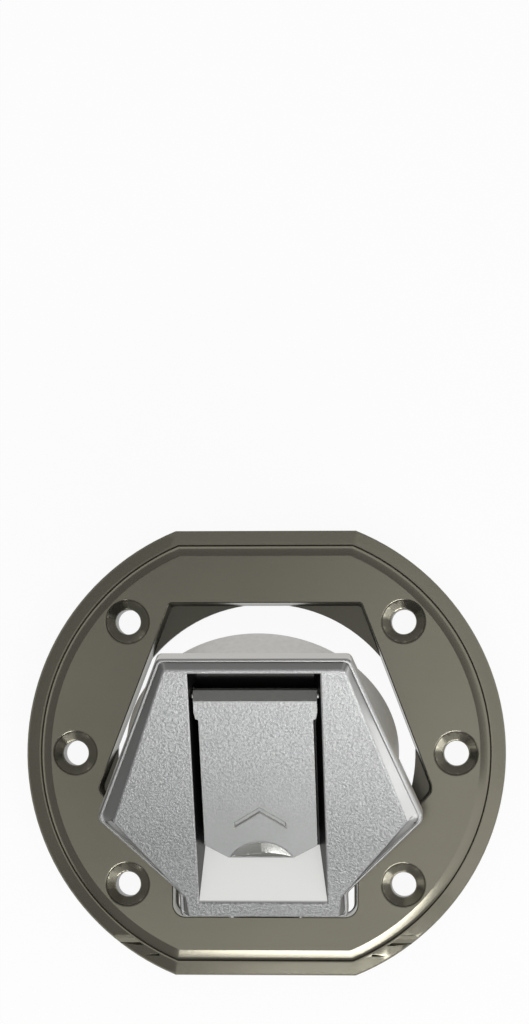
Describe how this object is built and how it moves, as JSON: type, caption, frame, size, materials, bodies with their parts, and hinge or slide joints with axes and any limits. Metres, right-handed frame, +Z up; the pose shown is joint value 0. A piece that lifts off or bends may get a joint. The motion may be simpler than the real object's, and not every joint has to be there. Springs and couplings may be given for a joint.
{
  "type": "locking fuel cap",
  "caption": "Flush locking fuel cap: round grey mounting ring with two flats, a silver hinged lid with a key flap, black seal and spring latch underneath",
  "frame": {"origin": "middle of the mounting ring on the plane of its bosses", "axes": "Z up out of the tank, hinge of the lid at -Y, latch at +Y, X across the hinge"},
  "size_m": [0.106, 0.0982, 0.0458],
  "materials": {
    "ring_metal": "satin warm grey lacquer on a die casting",
    "lid_silver": "speckled silver lacquer",
    "cast_metal": "bare casting",
    "zinc_yellow": "yellow zinc plate",
    "steel": "plain steel",
    "brass_core": "turned",
    "latch_metal": "light die casting",
    "black_plastic": "moulded, glossy",
    "grey_plastic": "moulded, dull",
    "black_rubber": "moulded"
  },
  "bodies": {
    "ring": {"mounting_ring": "ring_metal", "lid_hinge_pin": "steel"},
    "lid": {"lid_cover": "lid_silver", "lid_base": "cast_metal", "cover_screws": "steel", "flap_hinge_pin": "steel", "flap_spring": "steel", "lock_housing": "cast_metal", "lock_seal": "black_rubber", "latch_housing": "black_plastic", "housing_screw_right": "zinc_yellow", "housing_screw_left": "zinc_yellow", "latch_spring_right": "steel", "latch_spring_left": "steel", "seal_spring": "steel"},
    "flap": {"key_flap": "lid_silver"},
    "core": {"key_plug": "brass_core", "lock_wafers": "brass_core", "lock_cam": "steel", "cam_clip": "steel"},
    "latch": {"latch_bolt": "latch_metal"},
    "seal": {"seal_carrier": "grey_plastic", "seal_gasket": "black_rubber", "seal_retainer": "grey_plastic"}
  },
  "joints": [
    {"name": "lid_hinge", "type": "hinge", "parent": "ring", "child": "lid", "pos_m": [0, -0.042, 0.0048], "axis": [1, 0, 0], "range_deg": [-32, 34]},
    {"name": "flap_hinge", "type": "hinge", "parent": "lid", "child": "flap", "pos_m": [0, 0.01257, 0.03937], "axis": [-1, 0, 0], "range_deg": [0, 110], "stiffness_Nm_per_rad": 0.004, "springref_deg": -20.05, "deforming": ["flap_spring"]},
    {"name": "key_turn", "type": "hinge", "parent": "lid", "child": "core", "pos_m": [0, -0.00384, 0.02299], "axis": [0, 0.5299, -0.848], "range_deg": [0, 90]},
    {"name": "latch_slide", "type": "slide", "parent": "lid", "child": "latch", "axis": [0, 0.848, 0.5299], "range_m": [-0.004, 0], "deforming": ["latch_spring_left", "latch_spring_right"]},
    {"name": "seal_float", "type": "slide", "parent": "lid", "child": "seal", "axis": [0, -0.5299, 0.848], "range_m": [0, 0.0015], "stiffness_N_per_m": 400, "springref_m": -0.005, "deforming": ["seal_spring"]}
  ],
  "couplings": [
    {"joint": "key_turn", "follows": "latch_slide", "rad_per_m": -392.7}
  ]
}
